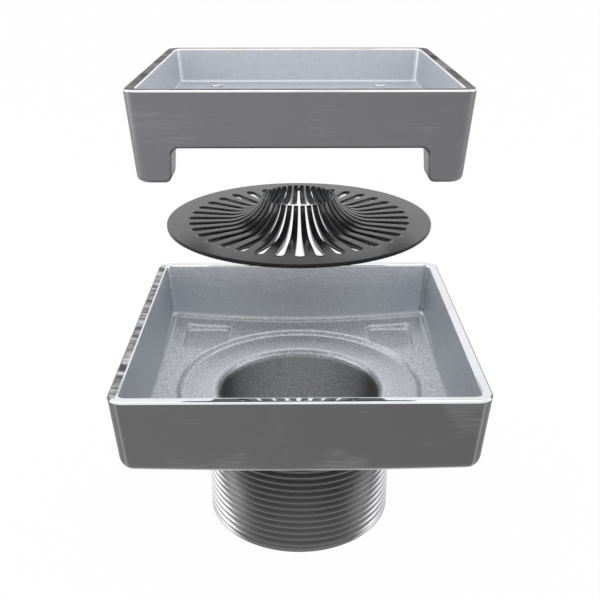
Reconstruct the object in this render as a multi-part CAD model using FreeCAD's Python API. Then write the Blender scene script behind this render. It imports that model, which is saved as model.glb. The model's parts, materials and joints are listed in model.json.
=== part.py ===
import FreeCAD, Part
import math
import os

# Square shower drain in three loose pieces: a cast drain body with a threaded spigot,
# a stamped hair strainer that lies in the body's seat, and a cast tile insert whose legs
# stand in the body's pockets. Millimetres, +Z up, origin at the centre of the spigot's lower end.

# Both castings
DRAFT_ANGLE = 4.0            # degrees, every cast wall narrows downwards by this
OVERCUT = 1.0                # how far a cutting shape runs past the face it opens

# Drain body
BODY_WIDTH = 101.6           # across the rim, outside
BODY_HEIGHT = 66.5           # from the spigot's end up to the rim
BODY_WALL = 2.9
BODY_CORNER_RADIUS = 4.6
BODY_INNER_CORNER_RADIUS = 2.0
BODY_FOOT_RADIUS = 4.5       # where the outer walls turn into the underside
FLOOR_FALL = 6.9             # degrees, the floor's slope towards the seat
SEAT_STEP = 1.25             # height of the round step from the seat up to the floor
SEAT_STEP_RUN = 1.8          # how far that step leans outwards
SEAT_THICKNESS = 1.0         # metal left under the seat
BORE_DIAMETER = 50.8
BORE_MOUTH_CHAMFER = 1.2
SPIGOT_DIAMETER = 59.6       # over the thread's crests
SPIGOT_CHAMFER = 0.3

# Pockets in the floor, one under each leg of the insert
POCKET_SIDE = 14.9
POCKET_CORNER_RADIUS = 1.6
POCKET_CLEARANCE = 0.3       # around the leg's outer faces
POCKET_SINK = 0.1            # how far the pockets lie below the floor's inner edge

# Hair strainer
STRAINER_DIAMETER = 78.0
STRAINER_THICKNESS = 1.0
STRAINER_OVERLAP = 1.1       # past the foot of the step, so that its edge rests on the slope
SLOT_COUNT = 36
SLOT_OUTER_RADIUS = 32.7     # from the axis to the slot's rounded end
SLOT_OUTER_WIDTH = 2.6
SLOT_INNER_WIDTH = 0.55      # between two fingers at their tips
FINGER_TIP_RADIUS = 10.8     # of the ring of finger tips
FINGER_RISE = 7.1            # of the tips above the flange
FINGER_BEND_RADIUS = 11.0
FINGER_BEND_FOLDS = 5        # short flats that make up the bend

# Tile insert
INSERT_WIDTH = 83.3          # across the rim, outside
INSERT_HEIGHT = 22.6         # its rim is level with the body's when it stands in the pockets
INSERT_WALL = 2.8
INSERT_CORNER_RADIUS = 3.7
INSERT_INNER_CORNER_RADIUS = 1.6
TRAY_DEPTH = 10.3
TRAY_FLOOR_THICKNESS = 3.7
LEG_SIDE = 8.6               # at the foot
LEG_ROOT_FILLET = 1.9        # where a leg grows out of the tray's underside
LEG_EDGE_CHAMFER = 0.9       # along the gaps between the legs
LEG_FOOT_CHAMFER = 1.0
WEEP_HOLE_DIAMETER = 4.0
WEEP_HOLE_X = 25.6
WEEP_HOLE_Y = 30.0

# How far the two loose pieces are lifted out of their seats (0 puts them back)
STRAINER_LIFT = 55.4
INSERT_LIFT = 77.6

# Heights and radii that follow from the sizes above
UP = FreeCAD.Vector(0, 0, 1)
CENTRE = FreeCAD.Vector(0, 0, 0)
DRAFT = math.tan(math.radians(DRAFT_ANGLE))
FALL = math.tan(math.radians(FLOOR_FALL))
rim_z = BODY_HEIGHT
pocket_z = rim_z - INSERT_HEIGHT
floor_edge_z = pocket_z + POCKET_SINK
seat_z = floor_edge_z - SEAT_STEP
seat_radius = STRAINER_DIAMETER / 2 - STRAINER_OVERLAP
floor_edge_radius = seat_radius + SEAT_STEP_RUN
strainer_rest_z = seat_z + STRAINER_OVERLAP * SEAT_STEP / SEAT_STEP_RUN
underside_z = seat_z - SEAT_THICKNESS
insert_foot_half = INSERT_WIDTH / 2 - INSERT_HEIGHT * DRAFT
leg_inner_half = insert_foot_half - LEG_SIDE


def floor_height(radius):
    """Height of the sloping floor's upper face at a distance from the axis."""
    return floor_edge_z + (radius - floor_edge_radius) * FALL


def rounded_outline(corners):
    """Closed wire through (point, radius) corners, each turned by a tangent arc of its radius."""
    starts = []
    middles = []
    ends = []
    for index, (corner, radius) in enumerate(corners):
        back = (corners[index - 1][0] - corner).normalize()
        ahead = (corners[(index + 1) % len(corners)][0] - corner).normalize()
        half_angle = back.getAngle(ahead) / 2
        trim = radius / math.tan(half_angle)
        inward = (back + ahead).normalize()
        starts.append(corner + back * trim)
        middles.append(corner + inward * (radius / math.sin(half_angle) - radius))
        ends.append(corner + ahead * trim)
    edges = []
    for index, (corner, radius) in enumerate(corners):
        if radius > 0:
            edges.append(Part.Arc(starts[index], middles[index], ends[index]).toShape())
        following = starts[(index + 1) % len(corners)]
        edges.append(Part.LineSegment(ends[index], following).toShape())
    return Part.Wire(edges)


def revolved(points):
    """Solid of revolution about Z from the (radius, height) points of its half section."""
    outline = [FreeCAD.Vector(radius, 0, height) for radius, height in points]
    return Part.Face(Part.makePolygon(outline + outline[:1])).revolve(CENTRE, UP, 360)


def frustum(lower_x, lower_y, upper_x, upper_y, bottom, top):
    """Flat-sided block about the axis, given by its half widths at the bottom and at the top."""
    block = Part.makeWedge(
        -lower_x, 0, -lower_y, -upper_y, -upper_x,
        lower_x, top - bottom, lower_y, upper_y, upper_x)
    block.rotate(CENTRE, FreeCAD.Vector(1, 0, 0), 90)
    block.translate(UP * bottom)
    return block


def drafted_block(top_half, corner_radius, top, depth):
    """Square block about the axis that narrows downwards by the draft, with round corners."""
    lower_half = top_half - depth * DRAFT
    block = frustum(lower_half, lower_half, top_half, top_half, top - depth, top)
    corners = [edge for edge in block.Edges if edge.BoundBox.ZLength > depth / 2]
    return block.makeFillet(corner_radius, corners)


def level_edges(shape, height):
    """Edges of a shape that lie in the level plane at a height."""
    found = []
    for edge in shape.Edges:
        box = edge.BoundBox
        if abs(box.ZMin - height) < 1e-4 and abs(box.ZMax - height) < 1e-4:
            found.append(edge)
    return found


def pocket(sign_x, sign_y):
    """Cutting shape of one level pocket in the sloping floor."""
    outer = insert_foot_half + POCKET_CLEARANCE
    inner = outer - POCKET_SIDE
    top = floor_height(outer * math.sqrt(2)) + OVERCUT
    plan = ((inner, inner), (outer, inner), (outer, outer), (inner, outer))
    corners = []
    for x, y in plan:
        corners.append((FreeCAD.Vector(sign_x * x, sign_y * y, pocket_z), POCKET_CORNER_RADIUS))
    return Part.Face(rounded_outline(corners)).extrude(UP * (top - pocket_z))


def make_body():
    """Drain body: drafted box on a spigot, with a conical floor, seat, pockets and bore."""
    spigot_radius = SPIGOT_DIAMETER / 2
    bore_radius = BORE_DIAMETER / 2
    above = rim_z + OVERCUT

    box = drafted_block(BODY_WIDTH / 2, BODY_CORNER_RADIUS, rim_z, rim_z - underside_z)
    box = box.makeFillet(BODY_FOOT_RADIUS, level_edges(box, underside_z))
    spigot = revolved([
        (0, 0),
        (spigot_radius - SPIGOT_CHAMFER, 0),
        (spigot_radius, SPIGOT_CHAMFER),
        (spigot_radius, underside_z),
        (0, underside_z),
    ])
    waterway = revolved([
        (0, -OVERCUT),
        (bore_radius, -OVERCUT),
        (bore_radius, seat_z - BORE_MOUTH_CHAMFER),
        (bore_radius + BORE_MOUTH_CHAMFER, seat_z),
        (seat_radius, seat_z),
        (floor_edge_radius, floor_edge_z),
        (BODY_WIDTH, floor_height(BODY_WIDTH)),
        (BODY_WIDTH, above),
        (0, above),
    ])
    inner_half = BODY_WIDTH / 2 - BODY_WALL
    hollow = drafted_block(
        inner_half + OVERCUT * DRAFT, BODY_INNER_CORNER_RADIUS, above, BODY_HEIGHT + 2 * OVERCUT)
    pockets = [pocket(x, y) for x in (-1, 1) for y in (-1, 1)]
    return box.fuse(spigot).cut(hollow.common(waterway)).cut(pockets)


def slot_edge():
    """The inner and outer end of a slot's straight edge, for a slot along +X."""
    outer_half = SLOT_OUTER_WIDTH / 2
    outer = SLOT_OUTER_RADIUS - outer_half
    inner = FINGER_TIP_RADIUS - STRAINER_THICKNESS
    taper = (outer_half - SLOT_INNER_WIDTH / 2) / (outer - FINGER_TIP_RADIUS)
    inner_half = outer_half - taper * (outer - inner)
    return FreeCAD.Vector(inner, -inner_half, 0), FreeCAD.Vector(outer, -outer_half, 0)


def mirrored(point):
    """The point on the other side of the X axis."""
    return FreeCAD.Vector(point.x, -point.y, point.z)


def slot():
    """Cutting shape of one slot in the flange: tapered, with a rounded outer end."""
    inner, outer = slot_edge()
    end = FreeCAD.Vector(SLOT_OUTER_RADIUS, 0, 0)
    outline = Part.Wire([
        Part.LineSegment(inner, outer).toShape(),
        Part.Arc(outer, end, mirrored(outer)).toShape(),
        Part.LineSegment(mirrored(outer), mirrored(inner)).toShape(),
        Part.LineSegment(mirrored(inner), inner).toShape(),
    ])
    return Part.Face(outline).extrude(UP * STRAINER_THICKNESS)


def finger(bend_start, sweep):
    """One finger along +X: a strip that leaves the flange, bends up in short flats and ends free."""
    half_turn = FreeCAD.Rotation(UP, 180 / SLOT_COUNT)
    inner, outer = [half_turn.multVec(point) for point in slot_edge()]
    root = bend_start + STRAINER_THICKNESS
    bend_centre_z = STRAINER_THICKNESS + FINGER_BEND_RADIUS

    def on_strip_side(radius, height):
        return FreeCAD.Vector(radius, -outer.y, height)

    def on_bend(radius, fold):
        angle = sweep * fold / FINGER_BEND_FOLDS
        return on_strip_side(bend_start - radius * math.sin(angle), bend_centre_z - radius * math.cos(angle))

    folds = range(FINGER_BEND_FOLDS + 1)
    upper = [on_bend(FINGER_BEND_RADIUS, fold) for fold in folds]
    lower = [on_bend(FINGER_BEND_RADIUS + STRAINER_THICKNESS, fold) for fold in reversed(folds)]
    outline = [on_strip_side(root, 0), on_strip_side(root, STRAINER_THICKNESS)] + upper + lower
    section = Part.Face(Part.makePolygon(outline + outline[:1]))
    strip = section.extrude(FreeCAD.Vector(0, 2 * outer.y, 0))
    plan = Part.Face(Part.makePolygon([inner, outer, mirrored(outer), mirrored(inner), inner]))
    return strip.common(plan.extrude(UP * (STRAINER_THICKNESS + FINGER_RISE + OVERCUT)))


def make_strainer():
    """Hair strainer: flat flange whose inner part is slotted into fingers around an open top."""
    sweep = math.acos(1 - FINGER_RISE / FINGER_BEND_RADIUS)
    bend_start = FINGER_TIP_RADIUS + FINGER_BEND_RADIUS * math.sin(sweep)
    flange_inner = bend_start / math.cos(math.pi / SLOT_COUNT)
    fingers = []
    slots = []
    for index in range(SLOT_COUNT):
        slots.append(slot())
        slots[index].rotate(CENTRE, UP, 360 * index / SLOT_COUNT - 90)
        fingers.append(finger(bend_start, sweep))
        fingers[index].rotate(CENTRE, UP, 360 * (index + 0.5) / SLOT_COUNT - 90)
    flange = Part.makeCylinder(STRAINER_DIAMETER / 2, STRAINER_THICKNESS)
    flange = flange.cut(Part.makeCylinder(flange_inner, STRAINER_THICKNESS))
    strainer = flange.cut(slots).fuse(fingers).removeSplitter()
    strainer.translate(UP * (strainer_rest_z + STRAINER_LIFT))
    return strainer


def leg_gap(top):
    """Cross-shaped cutting shape that leaves the four corner legs standing."""
    bottom = top - INSERT_HEIGHT - OVERCUT
    gap_top = top - TRAY_DEPTH - TRAY_FLOOR_THICKNESS
    lower_half = leg_inner_half + OVERCUT * DRAFT
    upper_half = lower_half - (gap_top - bottom) * DRAFT
    far = INSERT_WIDTH
    along_x = frustum(far, lower_half, far, upper_half, bottom, gap_top)
    along_y = frustum(lower_half, far, upper_half, far, bottom, gap_top)
    gap = along_x.fuse(along_y).removeSplitter()

    def within(edge):
        """Inside the arms' far ends, so that it borders a leg."""
        centre = edge.CenterOfMass
        return max(abs(centre.x), abs(centre.y)) < far - OVERCUT

    roof = [edge for edge in level_edges(gap, gap_top) if within(edge)]
    return gap.makeFillet(LEG_ROOT_FILLET, roof)


def make_insert():
    """Tile insert: open tray on four corner legs, with weep holes through its floor."""
    top = rim_z + INSERT_LIFT
    foot = top - INSERT_HEIGHT
    floor = top - TRAY_DEPTH
    block = drafted_block(INSERT_WIDTH / 2, INSERT_CORNER_RADIUS, top, INSERT_HEIGHT)
    insert = block.cut(leg_gap(top))

    def borders_gap(edge):
        """An edge between the outer walls and the gap, above the foot."""
        box = edge.BoundBox
        if box.ZMax > floor or box.ZMax - foot < 1e-4:
            return False
        middle = edge.valueAt(edge.getParameterByLength(edge.Length / 2))
        outer_half = INSERT_WIDTH / 2 - (top - middle.z) * DRAFT
        reach = max(abs(middle.x), abs(middle.y))
        across = min(abs(middle.x), abs(middle.y))
        return abs(reach - outer_half) < 1e-3 and across < leg_inner_half + OVERCUT

    insert = insert.makeChamfer(LEG_EDGE_CHAMFER, [edge for edge in insert.Edges if borders_gap(edge)])
    insert = insert.makeChamfer(LEG_FOOT_CHAMFER, level_edges(insert, foot))

    tray_half = INSERT_WIDTH / 2 - INSERT_WALL
    tray = drafted_block(
        tray_half + OVERCUT * DRAFT, INSERT_INNER_CORNER_RADIUS, top + OVERCUT, TRAY_DEPTH + OVERCUT)
    weep_holes = []
    for x in (-WEEP_HOLE_X, WEEP_HOLE_X):
        for y in (-WEEP_HOLE_Y, WEEP_HOLE_Y):
            under = FreeCAD.Vector(x, y, floor - TRAY_FLOOR_THICKNESS - OVERCUT)
            length = TRAY_FLOOR_THICKNESS + 2 * OVERCUT
            weep_holes.append(Part.makeCylinder(WEEP_HOLE_DIAMETER / 2, length, under, UP))
    return insert.cut(tray).cut(weep_holes)


os.makedirs("parts", exist_ok=True)
make_body().exportStep("parts/drain_body.step")
make_strainer().exportStep("parts/hair_strainer.step")
make_insert().exportStep("parts/tile_insert.step")
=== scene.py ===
# %% [markdown]
# # A square shower drain, taken apart
# Three metal pieces hang above each other on one axis: a cast tile insert, a dark hair
# strainer and a cast drain body with a threaded spigot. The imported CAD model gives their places
# and outer sizes, so this lesson only rebuilds each surface with the small radii, the thread
# and the finishes that the plain solids leave out.

# %% Load the frame
import json
import math

import bmesh
import bpy
import numpy as np
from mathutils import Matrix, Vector
from mathutils.geometry import delaunay_2d_cdt
from mathutils.kdtree import KDTree

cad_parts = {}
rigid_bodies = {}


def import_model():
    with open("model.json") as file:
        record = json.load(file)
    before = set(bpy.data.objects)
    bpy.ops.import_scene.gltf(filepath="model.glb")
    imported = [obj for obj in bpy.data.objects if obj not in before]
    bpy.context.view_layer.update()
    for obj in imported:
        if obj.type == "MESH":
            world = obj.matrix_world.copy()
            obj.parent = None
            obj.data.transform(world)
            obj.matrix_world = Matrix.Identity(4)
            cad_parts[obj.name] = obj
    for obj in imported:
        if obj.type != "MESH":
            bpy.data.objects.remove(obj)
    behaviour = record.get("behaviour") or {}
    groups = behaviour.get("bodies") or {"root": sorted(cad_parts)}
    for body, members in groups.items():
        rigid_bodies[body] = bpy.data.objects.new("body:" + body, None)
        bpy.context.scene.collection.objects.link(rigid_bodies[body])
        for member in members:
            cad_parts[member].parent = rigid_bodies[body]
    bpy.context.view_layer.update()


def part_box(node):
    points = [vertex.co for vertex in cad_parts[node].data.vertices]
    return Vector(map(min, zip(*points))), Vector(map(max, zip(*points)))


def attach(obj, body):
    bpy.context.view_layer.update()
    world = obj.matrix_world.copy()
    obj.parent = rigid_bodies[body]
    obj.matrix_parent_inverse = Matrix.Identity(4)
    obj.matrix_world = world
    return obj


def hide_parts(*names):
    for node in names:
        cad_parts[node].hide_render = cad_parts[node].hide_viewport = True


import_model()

MM = 0.001


def box_mm(node):
    """Lowest and highest corner of a CAD node, in mm."""
    return [np.array(corner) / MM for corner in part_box(node)]


body_high = box_mm("drain_body")[1]
strainer_low, strainer_high = box_mm("hair_strainer")
insert_low, insert_high = box_mm("tile_insert")
print("heights in mm:", body_high[2], strainer_low[2], strainer_high[2], insert_low[2], insert_high[2])

# %% [markdown]
# ## Camera
# The picture was taken from in front and a little above. Lens, height and tilt were worked
# out from the straight edges of the two square pieces, whose real proportions are known.

# %% Place the camera
CAMERA_PLACE = (-0.00168, -0.2370, 0.17595)
CAMERA_TILT = 66.57
CAMERA_TURN = -0.476
CAMERA_LENS = 49.83

lens = bpy.data.cameras.new("studio_camera")
lens.sensor_width = 36.0
lens.lens = CAMERA_LENS
lens.clip_start = 0.01
camera = bpy.data.objects.new("studio_camera", lens)
camera.location = CAMERA_PLACE
camera.rotation_euler = (math.radians(CAMERA_TILT), 0, math.radians(CAMERA_TURN))
bpy.context.scene.collection.objects.link(camera)
bpy.context.scene.camera = camera
bpy.context.scene.view_settings.view_transform = "Standard"
print("camera at", CAMERA_PLACE)

# %% [markdown]
# ## A few helpers for node trees
# Every finish below is a tree of nodes. A value on its way through a tree is written as a pair,
# the node and its output, so the result of one helper can be handed straight to the next.

# %% Node helpers
def add_node(tree, kind, values=None, **settings):
    """New node in a tree, with its properties and the values of its named inputs."""
    node = tree.nodes.new(kind)
    for name, value in settings.items():
        setattr(node, name, value)
    for name, value in (values or {}).items():
        node.inputs[name].default_value = value
    return node


def join(tree, source, output, target, socket):
    """Link one node's output to another node's input, by name or number."""
    tree.links.new(source.outputs[output], target.inputs[socket])


def wire(tree, *links):
    """Make several links, each written as (node, output, node, input)."""
    for link in links:
        join(tree, *link)


def math_node(tree, operation, first, second=None, clamp=False):
    """Result of a Math node fed by numbers or by (node, output) pairs."""
    node = add_node(tree, "ShaderNodeMath", operation=operation, use_clamp=clamp)
    for index, value in enumerate((first, second)):
        if isinstance(value, tuple):
            join(tree, *value, node, index)
        elif value is not None:
            node.inputs[index].default_value = value
    return node, 0


def between(tree, value, low, high, first, last):
    """A value from low to high laid out from first to last, and held beyond them."""
    node = add_node(tree, "ShaderNodeMapRange", {
        "From Min": low, "From Max": high, "To Min": first, "To Max": last})
    join(tree, *value, node, 0)
    return node, 0


def new_group(name, inputs, outputs):
    """Empty shader node group with named float inputs and named float outputs."""
    group = bpy.data.node_groups.new(name, "ShaderNodeTree")
    for socket, value in inputs.items():
        made = group.interface.new_socket(socket, in_out="INPUT", socket_type="NodeSocketFloat")
        made.default_value = value
    for socket in outputs:
        group.interface.new_socket(socket, in_out="OUTPUT", socket_type="NodeSocketFloat")
    return group, add_node(group, "NodeGroupInput"), add_node(group, "NodeGroupOutput")


# %% [markdown]
# ## Finish: cast skin
# Sand leaves a fine, uneven skin on cast metal. Two sizes of noise make it: a small grain that
# sparkles and a wider, shallow orange peel. The castings and the strainer's coat use it, so it
# is one node group.

# %% Cast skin group
cast_skin, skin_in, skin_out = new_group(
    "cast_skin", {"Grain per mm": 1.5, "Peel per mm": 0.6, "Peel share": 0.4},
    ("Height", "Mottle", "Grain"))
skin_place = add_node(cast_skin, "ShaderNodeTexCoord")
skin_noises = []
for name, detail in (("Grain per mm", 3.0), ("Peel per mm", 2.0)):
    noise = add_node(cast_skin, "ShaderNodeTexNoise", {"Detail": detail, "Roughness": 0.55})
    per_metre = math_node(cast_skin, "MULTIPLY", (skin_in, name), 1 / MM)
    wire(cast_skin, (*per_metre, noise, "Scale"), (skin_place, "Object", noise, "Vector"))
    skin_noises.append((noise, 0))
grain, peel = skin_noises
peel_part = math_node(cast_skin, "MULTIPLY", peel, (skin_in, "Peel share"))
skin_height = math_node(cast_skin, "ADD", peel_part, grain)
wire(cast_skin, (*skin_height, skin_out, "Height"), (*peel, skin_out, "Mottle"),
     (*grain, skin_out, "Grain"))
print("group", cast_skin.name)

# %% [markdown]
# ## Finish: linished lines
# A belt leaves long fine lines on the outer walls and cross marks on the rims. Noise that is
# stretched hard along one axis makes such lines, and a mask of broad noise lets a few stand out.

# %% Linished lines group
SCRATCH_CONTRAST = 5.0
lines, lines_in, lines_out = new_group(
    "linished_lines", {"Along X": 0.03, "Along Y": 0.03, "Along Z": 2.5, "Cut": 0.62},
    ("Lines", "Scratches"))
lines_place = add_node(lines, "ShaderNodeTexCoord")
lines_scale = add_node(lines, "ShaderNodeCombineXYZ")
for index, name in enumerate(("Along X", "Along Y", "Along Z")):
    per_metre = math_node(lines, "MULTIPLY", (lines_in, name), 1 / MM)
    join(lines, *per_metre, lines_scale, index)
lines_vector = add_node(lines, "ShaderNodeVectorMath", operation="MULTIPLY")
fine_lines = add_node(lines, "ShaderNodeTexNoise", {"Scale": 1.0, "Detail": 4.0, "Roughness": 0.6})
patches = add_node(lines, "ShaderNodeTexNoise", {"Scale": 70.0, "Detail": 1.0})
wire(lines, (lines_place, "Object", lines_vector, 0), (lines_scale, 0, lines_vector, 1),
     (lines_vector, 0, fine_lines, "Vector"), (lines_place, "Object", patches, "Vector"))
patched = math_node(lines, "MULTIPLY", (fine_lines, 0), (patches, 0))
doubled = math_node(lines, "MULTIPLY", patched, 2.0)
over_cut = math_node(lines, "SUBTRACT", doubled, (lines_in, "Cut"))
scratches = math_node(lines, "MULTIPLY", over_cut, SCRATCH_CONTRAST, clamp=True)
wire(lines, (fine_lines, 0, lines_out, "Lines"), (*scratches, lines_out, "Scratches"))
print("group", lines.name)

# %% [markdown]
# ## The metals
# All the castings are one metal in four finishes: satin outer walls, cast surfaces, polished rims
# and hole walls, and a cut thread. Each finish keeps its own Principled shader, mixes its colour
# from a few tones and bends its normal with a small bump. The patterns read object coordinates,
# so they stay where they are from every side.

# %% Tools for a finish
MIX_FIRST, MIX_SECOND, MIX_RESULT = 6, 7, 2


def tone_mix(tree, mask, first, second):
    """Colour between two tones by a mask; a tone is three numbers or a (node, output) pair."""
    mix = add_node(tree, "ShaderNodeMix", data_type="RGBA")
    join(tree, *mask, mix, 0)
    for socket, tone in ((MIX_FIRST, first), (MIX_SECOND, second)):
        if len(tone) == 2:
            join(tree, *tone, mix, socket)
        else:
            mix.inputs[socket].default_value = (*tone, 1)
    return mix, MIX_RESULT


def scale_tone(tree, tone, share):
    """A tone made darker or lighter by a share."""
    node = add_node(tree, "ShaderNodeVectorMath", operation="SCALE")
    wire(tree, (*tone, node, 0), (*share, node, "Scale"))
    return node, 0


def spread(tree, noise, low, high):
    """A noise value, mostly from 0.3 to 0.7, laid out from low to high."""
    return between(tree, noise, 0.3, 0.7, low, high)


def object_place(tree):
    """A point's object coordinates, whole as a pair and split into X, Y and Z."""
    place = add_node(tree, "ShaderNodeTexCoord")
    parts = add_node(tree, "ShaderNodeSeparateXYZ")
    join(tree, place, "Object", parts, 0)
    return (place, "Object"), parts


def new_finish(name, metallic, tint=1.0):
    """Material with a bare Principled shader, its tree and the shader."""
    material = bpy.data.materials.new(name)
    material.use_nodes = True
    shader = material.node_tree.nodes["Principled BSDF"]
    shader.inputs["Metallic"].default_value = metallic
    shader.inputs["Specular Tint"].default_value = (tint, tint, tint, 1)
    return material, material.node_tree, shader


def dress(tree, shader, tone, rough, height, strength, depth):
    """Give a shader its colour, its roughness and a bump of a depth in mm."""
    bump = add_node(tree, "ShaderNodeBump", {"Strength": strength, "Distance": depth * MM})
    wire(tree, (*tone, shader, "Base Color"), (*rough, shader, "Roughness"),
         (*height, bump, "Height"), (bump, 0, shader, "Normal"))


# %% [markdown]
# The outer walls are satin: a belt left faint level scratches all round. A thin highlight is
# painted down each corner; an attribute on the points marks it, because it follows the shape.
# The left side is painted a little paler than the right, as the picture shows it: painted light.

# %% Satin walls
WALL_MARKS = {"Along X": 0.16, "Along Y": 0.16, "Along Z": 3.0, "Cut": 0.61}
WALL_REACH = 50.0
WALL_ROUGH = (0.36, 0.44)
LEFT_PAINTED_LIGHT, RIGHT_PAINTED_SHADE = 1.1, 0.93
WALL_HIGHLIGHT_TONE = (0.62, 0.62, 0.63)


def satin_finish(name, dark, light):
    """Linished outer wall with faint level scratches, painted paler on the left, and painted highlight
    lines.
    """
    material, tree, shader = new_finish(name, 1.0)
    _, parts = object_place(tree)
    marks = add_node(tree, "ShaderNodeGroup", WALL_MARKS, node_tree=lines)
    tone = tone_mix(tree, (marks, "Scratches"), dark, light)
    # Painted light: the tone is paler on the left and darker on the right.
    across = between(tree, (parts, "X"), -WALL_REACH * MM, WALL_REACH * MM, LEFT_PAINTED_LIGHT, RIGHT_PAINTED_SHADE)
    # Painted highlight: the attribute lightens the thin line down each outer corner.
    light_and_shade = add_node(tree, "ShaderNodeAttribute", attribute_name="painted_light_and_shade")
    with_highlight = tone_mix(tree, (light_and_shade, "Fac"), scale_tone(tree, tone, across), WALL_HIGHLIGHT_TONE)
    rough = spread(tree, (marks, "Lines"), *WALL_ROUGH)
    dress(tree, shader, with_highlight, rough, (marks, "Lines"), 0.06, 0.04)
    return material


# %% [markdown]
# A cast surface is mottled by its skin, and low in the body single grains sparkle. The same
# attribute is above 0 on edges with a painted highlight and below 0 in hollows with painted shade.
# A painted highlight is also made less of a mirror, so its bright tone shows.

# %% Cast surfaces
HIGHLIGHT_TONE = (0.93, 0.95, 0.98)
HIGHLIGHT_METALLIC = 0.35
HOLLOW_SHADE_SHARE = 0.35
CAST_ROUGH = (0.34, 0.44)
GRAIN_FADE = 6.0
GRAIN_SHARES = (0.04, 0.40)
SPARKLE_SPAN = (0.45, 0.56)


def cast_finish(name, dark, light, strength, grain_top=None, peel=0.6, tint=1.0):
    """Mottled cast skin with painted highlights on edges, painted shade in hollows and, below a height in
    mm, bright grains.
    """
    material, tree, shader = new_finish(name, 1.0, tint)
    skin = add_node(tree, "ShaderNodeGroup", {"Peel per mm": peel}, node_tree=cast_skin)
    tone = tone_mix(tree, spread(tree, (skin, "Mottle"), 0.0, 1.0), dark, light)
    if grain_top is not None:
        _, parts = object_place(tree)
        low = between(tree, (parts, "Z"), grain_top * MM, (grain_top - GRAIN_FADE) * MM, *GRAIN_SHARES)
        sparkle = between(tree, (skin, "Grain"), *SPARKLE_SPAN, 0.0, 1.0)
        pits = [0.7 * part for part in dark]
        grains = [min(0.97, 1.5 * part) for part in light]
        tone = tone_mix(tree, low, tone, tone_mix(tree, sparkle, pits, grains))
    # Painted highlight where the attribute is above 0, painted shade where it is below 0.
    light_and_shade = add_node(tree, "ShaderNodeAttribute", attribute_name="painted_light_and_shade")
    speckled_highlight = math_node(tree, "MULTIPLY", (light_and_shade, "Fac"), spread(tree, (skin, "Grain"), 0.6, 1.0))
    highlighted = tone_mix(tree, speckled_highlight, tone, HIGHLIGHT_TONE)
    painted_shade = between(tree, (light_and_shade, "Fac"), -1.0, 0.0, HOLLOW_SHADE_SHARE, 1.0)
    mirror = between(tree, speckled_highlight, 0.0, 1.0, 1.0, HIGHLIGHT_METALLIC)
    join(tree, *mirror, shader, "Metallic")
    rough = spread(tree, (skin, "Height"), *CAST_ROUGH)
    dress(tree, shader, scale_tone(tree, highlighted, painted_shade), rough, (skin, "Height"), strength, 0.3)
    return material


# %% [markdown]
# The rims and the walls of the holes are polished, with cross marks left by the belt. The body's
# left rim has deep dark streaks as well: they lie beyond one x, between the two corners.

# %% Polished rims
RIM_MARKS = {"Along X": 0.04, "Along Y": 0.7, "Along Z": 0.3, "Cut": 0.5}
RIM_STREAKS = {"Along X": 0.08, "Along Y": 0.24, "Along Z": 0.3, "Cut": 0.5}
STREAK_TONE = (0.07, 0.07, 0.075)
STREAK_SPAN = (0.43, 0.70)


def polished_finish(name, dark, light, roughness, streaked_from=None):
    """Polished surface with belt marks, and with dark streaks on the left of an x in mm."""
    material, tree, shader = new_finish(name, 1.0)
    marks = add_node(tree, "ShaderNodeGroup", RIM_MARKS, node_tree=lines)
    tone = tone_mix(tree, (marks, "Scratches"), light, dark)
    if streaked_from is not None:
        _, parts = object_place(tree)
        side = math_node(tree, "LESS_THAN", (parts, "X"), streaked_from * MM)
        from_middle = math_node(tree, "ABSOLUTE", (parts, "Y"))
        within = math_node(tree, "LESS_THAN", from_middle, -streaked_from * MM)
        bands = add_node(tree, "ShaderNodeGroup", RIM_STREAKS, node_tree=lines)
        streaks = between(tree, (bands, "Lines"), *STREAK_SPAN, 1.0, 0.0)
        marked = math_node(tree, "MULTIPLY", side, within)
        tone = tone_mix(tree, math_node(tree, "MULTIPLY", marked, streaks), tone, STREAK_TONE)
    rough = spread(tree, (marks, "Lines"), roughness, 1.6 * roughness)
    dress(tree, shader, tone, rough, (marks, "Lines"), 0.05, 0.03)
    return material


# %% [markdown]
# The thread is cut. Its tone paints reflections: painted bright at its two sides, while front and
# back are painted dark. The bright part reaches further round low on the spigot and on the crests,
# so its edge follows the ridge. Distance from the axis tells a painted light crest from a painted dark
# root.

# %% Cut thread
CORE_RADIUS = 28.8
SPIGOT_RADIUS = 29.8
CREST = SPIGOT_RADIUS - 0.05
THREAD_MARKS = {"Along X": 0.3, "Along Y": 0.3, "Along Z": 3.0, "Cut": 0.6}
THREAD_REACH = 29.0
THREAD_TINT = 0.25
THREAD_HEIGHT = 38.0
REFLECTION_LIMITS = (0.37, 0.70)
FRONT_SHARE = 0.16


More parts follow.
